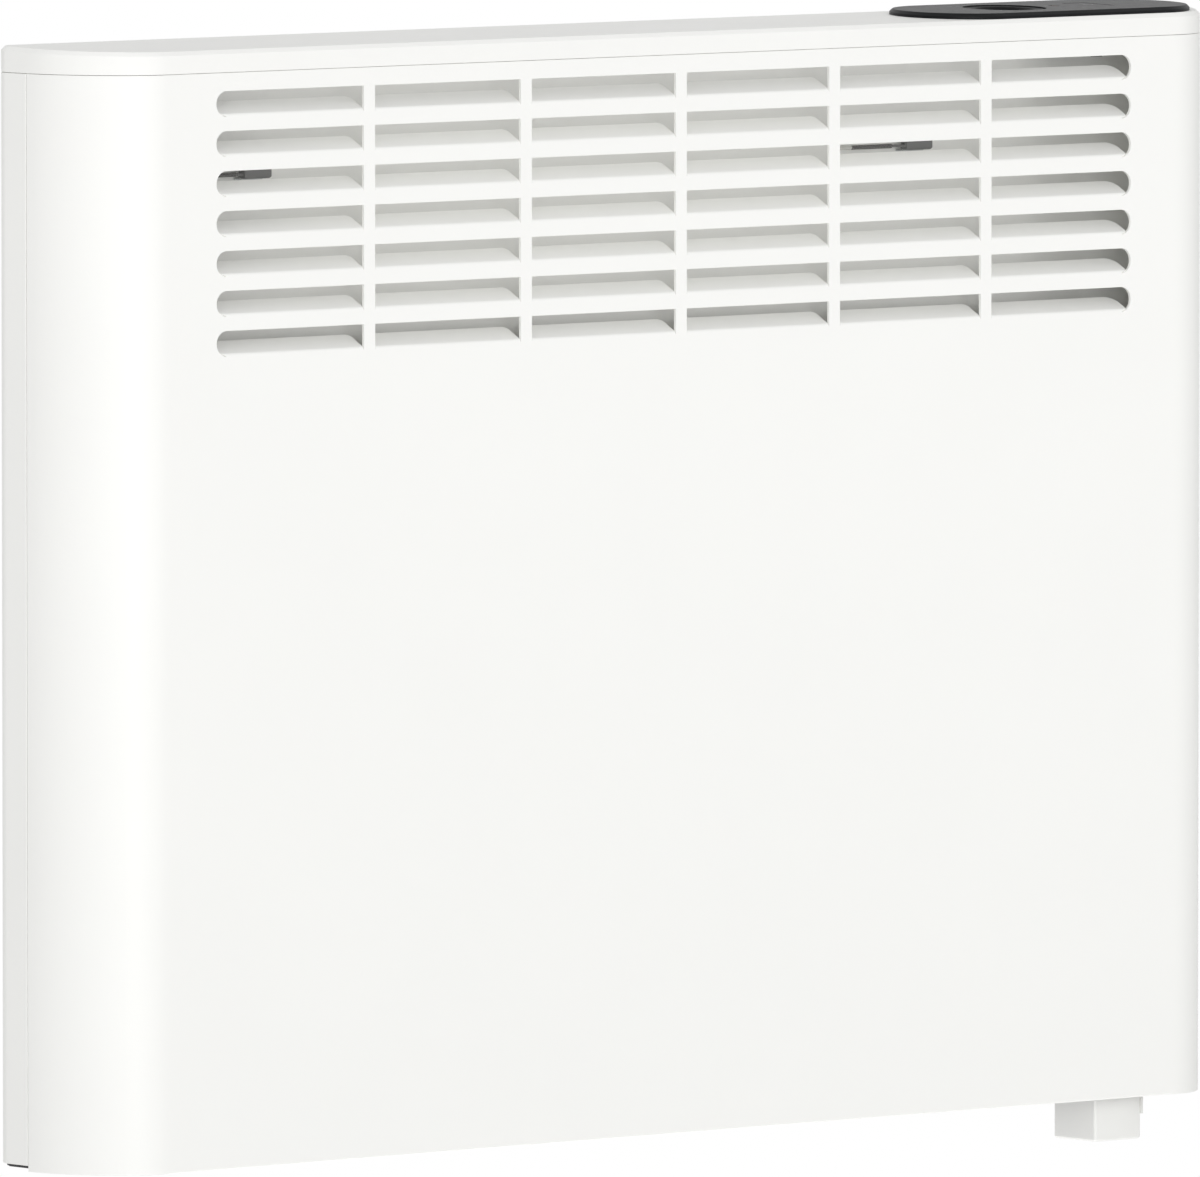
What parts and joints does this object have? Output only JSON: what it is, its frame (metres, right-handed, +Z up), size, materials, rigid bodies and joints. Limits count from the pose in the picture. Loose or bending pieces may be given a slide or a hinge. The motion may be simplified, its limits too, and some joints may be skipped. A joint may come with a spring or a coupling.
{
  "type": "wall convector heater",
  "caption": "Slim wall-hung electric convector heater: rounded sheet casing with a pressed louvre outlet, inlet grille below, dial and switch panel on top, room-air sensor, wall rails.",
  "frame": {"origin": "centre of the four wall-screw holes, on the wall plane", "axes": "+X to the right as seen from the room, +Y into the wall, +Z up; the louvred front faces -Y"},
  "size_m": [0.61, 0.083, 0.4728],
  "materials": {
    "white_paint": "satin powder coat",
    "white_moulding": "fine satin",
    "anthracite_moulding": "fine eroded texture",
    "black_dial": "satin",
    "dark_grille": "matt",
    "zinc_steel": "zinc plated",
    "bare_aluminium": "extruded",
    "ceramic_white": "unglazed",
    "black_moulding": "moulded",
    "white_silicone": "soft satin",
    "dark_sleeving": "woven, coated",
    "black_rubber": "matt",
    "green_board": "solder mask",
    "lamp_lens": "clear tinted",
    "grey_moulding": "moulded"
  },
  "bodies": {
    "casing": {"front_cover": "white_paint", "rear_shell": "white_paint", "heat_shield": "white_paint", "top_cap": "white_moulding", "sensor_housing": "white_moulding", "sensor_collar": "white_moulding", "control_fascia": "anthracite_moulding", "bottom_grille": "dark_grille", "cover_screws": "zinc_steel", "board_screws": "zinc_steel", "element_bracket_left": "zinc_steel", "element_bracket_right": "zinc_steel", "cutout_bracket_left": "zinc_steel", "cutout_bracket_right": "zinc_steel", "bracket_rivets": "zinc_steel", "hanger_rail": "zinc_steel", "lower_rail": "zinc_steel", "heating_tube": "zinc_steel", "element_fins": "bare_aluminium", "element_bushes": "ceramic_white", "shield_spacers": "ceramic_white", "switch_body": "black_moulding", "power_relay": "black_moulding", "dial_potentiometer": "black_moulding", "right_lead": "white_silicone", "left_lead": "white_silicone", "return_lead": "white_silicone", "supply_lead": "white_silicone", "sensor_lead": "white_silicone", "lead_sleeves": "dark_sleeving", "wall_buffers": "black_rubber", "cable_gland": "black_rubber", "control_board": "green_board", "indicator_lens": "lamp_lens", "control_box": "grey_moulding", "control_box_lid": "grey_moulding", "terminal_block": "grey_moulding", "sensor_probe": "grey_moulding", "thermal_cutout_left": "grey_moulding", "thermal_cutout_right": "grey_moulding"},
    "dial": {"dial_knob": "black_dial", "dial_shaft": "zinc_steel"},
    "button": {"power_button": "black_dial"},
    "latch_left": {"latch_left": "grey_moulding"},
    "latch_right": {"latch_right": "grey_moulding"}
  },
  "joints": [
    {"name": "dial_turn", "type": "hinge", "parent": "casing", "child": "dial", "pos_m": [0.2018, -0.05139, 0.21987], "axis": [0, 0.0218, -0.9998], "range_deg": [0, 270]},
    {"name": "button_press", "type": "slide", "parent": "casing", "child": "button", "axis": [0, 0.0218, -0.9998], "range_m": [0, 0.0018], "stiffness_N_per_m": 400, "springref_m": -0.0005},
    {"name": "latch_left_turn", "type": "hinge", "parent": "casing", "child": "latch_left", "pos_m": [-0.14, -0.013, -0.122], "axis": [0, 1, 0], "range_deg": [0, 90]},
    {"name": "latch_right_turn", "type": "hinge", "parent": "casing", "child": "latch_right", "pos_m": [0.14, -0.013, -0.122], "axis": [0, -1, 0], "range_deg": [0, 90]}
  ]
}
